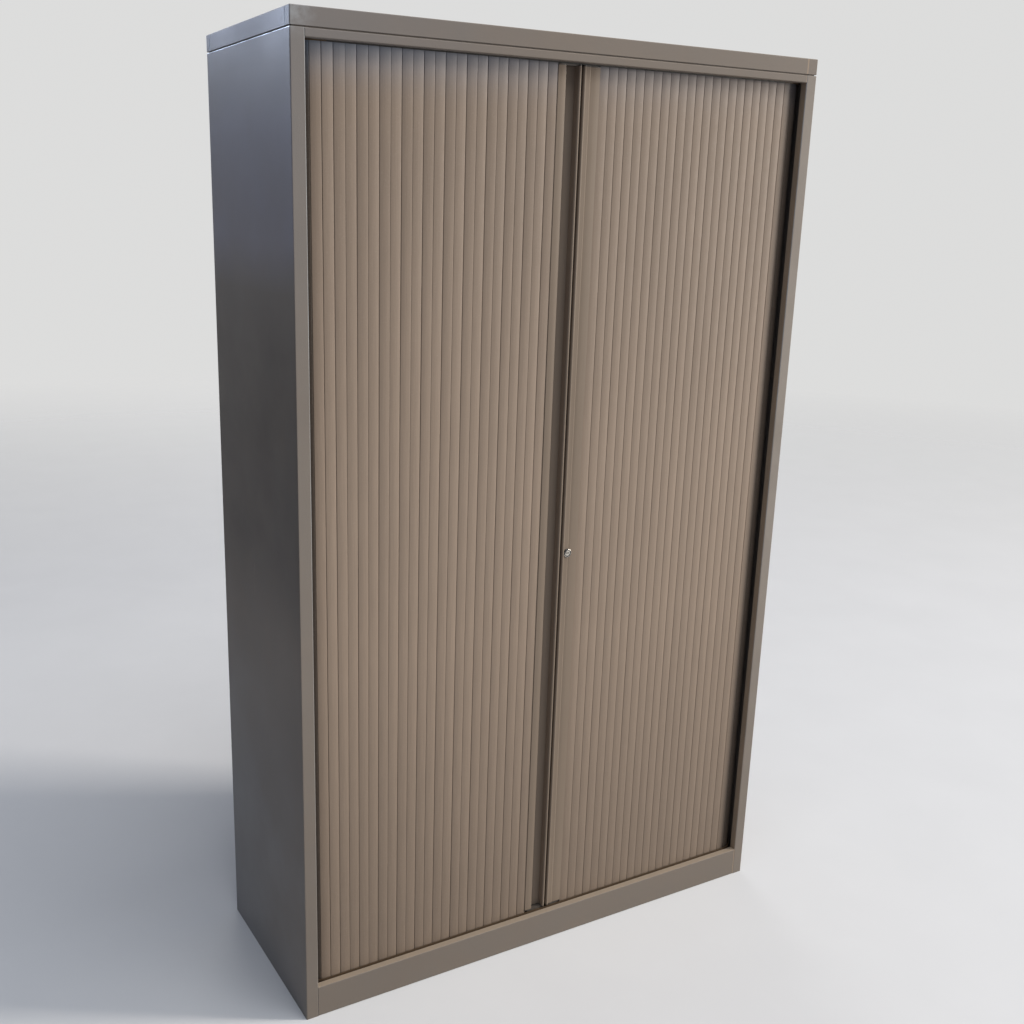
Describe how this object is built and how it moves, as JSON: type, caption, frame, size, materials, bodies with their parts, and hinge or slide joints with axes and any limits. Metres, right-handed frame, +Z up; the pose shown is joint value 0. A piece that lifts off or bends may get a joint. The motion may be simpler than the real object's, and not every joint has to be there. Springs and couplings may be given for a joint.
{
  "type": "tambour door storage cabinet",
  "caption": "Tall steel storage cabinet with side-opening tambour curtains, leading profiles with a cam lock, adjustable shelves and levelling feet.",
  "frame": {"origin": "on the floor, below the middle of the cabinet", "axes": "+Z up, front of the cabinet towards -Y, +X to the right seen from the front"},
  "size_m": [1.2, 0.44, 1.955],
  "materials": {
    "frame_paint": "baked grey-taupe paint with a fine satin texture, slightly warm",
    "inner_paint": "the same paint, inside the cabinet, a little matter",
    "slat_plastic": "extruded matte plastic slats, warm taupe",
    "profile_paint": "aluminium extrusion painted taupe, satin",
    "track_plastic": "black low-friction plastic track",
    "cap_plastic": "moulded end caps, dark taupe",
    "buffer_rubber": "black rubber strip, matte",
    "lock_metal": "nickel-plated lock, lightly worn",
    "bare_steel": "zinc-plated steel",
    "rivet_metal": "painted-over blind rivets",
    "plug_plastic": "dark grey plastic plugs",
    "foot_metal": "zinc-plated screwed feet"
  },
  "bodies": {
    "carcass": {"top_cap": "frame_paint", "left_side_panel": "frame_paint", "right_side_panel": "frame_paint", "header_rail": "frame_paint", "bottom_rail": "frame_paint", "rear_plinth": "frame_paint", "back_panel": "frame_paint", "top_frame": "inner_paint", "ceiling_panel": "inner_paint", "base_panel": "inner_paint", "false_floor": "inner_paint", "left_liner": "inner_paint", "right_liner": "inner_paint", "inner_back": "inner_paint", "shelf_1": "inner_paint", "shelf_2": "inner_paint", "shelf_3": "inner_paint", "shelf_4": "inner_paint", "left_upright_front": "inner_paint", "right_upright_front": "inner_paint", "left_upright_rear": "inner_paint", "right_upright_rear": "inner_paint", "back_rivets": "rivet_metal", "front_track_bottom": "track_plastic", "front_track_top": "track_plastic", "left_storage_track_bottom": "track_plastic", "right_storage_track_bottom": "track_plastic", "left_storage_track_top": "track_plastic", "right_storage_track_top": "track_plastic", "left_curtain_front": "slat_plastic", "left_curtain_tail": "slat_plastic", "right_curtain_front": "slat_plastic", "right_curtain_tail": "slat_plastic", "shelf_clips": "bare_steel", "foot_brackets": "bare_steel", "foot_inserts": "bare_steel", "hole_plugs": "plug_plastic"},
    "left_door": {"left_profile": "profile_paint", "left_cap_bottom": "cap_plastic", "left_cap_top": "cap_plastic", "keeper_plate": "bare_steel"},
    "right_door": {"right_profile": "profile_paint", "right_cap_bottom": "cap_plastic", "right_cap_top": "cap_plastic", "closing_buffer": "buffer_rubber", "lock_barrel": "lock_metal", "lock_nut": "bare_steel"},
    "lock_turn": {"lock_plug": "lock_metal", "lock_cam": "bare_steel", "cam_screw": "bare_steel"},
    "foot_front_left": {"foot_front_left": "foot_metal"},
    "foot_front_right": {"foot_front_right": "foot_metal"},
    "foot_rear_left": {"foot_rear_left": "foot_metal"},
    "foot_rear_right": {"foot_rear_right": "foot_metal"}
  },
  "joints": [
    {"name": "left_door_slide", "type": "slide", "parent": "carcass", "child": "left_door", "axis": [-1, 0, 0], "range_m": [0, 0.481], "deforming": ["left_curtain_front"]},
    {"name": "right_door_slide", "type": "slide", "parent": "carcass", "child": "right_door", "axis": [1, 0, 0], "range_m": [0, 0.481], "deforming": ["right_curtain_front"]},
    {"name": "lock_turn", "type": "hinge", "parent": "right_door", "child": "lock_turn", "pos_m": [0.019, -0.206, 0.93], "axis": [0, 1, 0], "range_deg": [0, 90]},
    {"name": "foot_front_left_screw", "type": "slide", "parent": "carcass", "child": "foot_front_left", "axis": [0, 0, -1], "range_m": [0, 0.015]},
    {"name": "foot_front_right_screw", "type": "slide", "parent": "carcass", "child": "foot_front_right", "axis": [0, 0, -1], "range_m": [0, 0.015]},
    {"name": "foot_rear_left_screw", "type": "slide", "parent": "carcass", "child": "foot_rear_left", "axis": [0, 0, -1], "range_m": [0, 0.015]},
    {"name": "foot_rear_right_screw", "type": "slide", "parent": "carcass", "child": "foot_rear_right", "axis": [0, 0, -1], "range_m": [0, 0.015]}
  ]
}
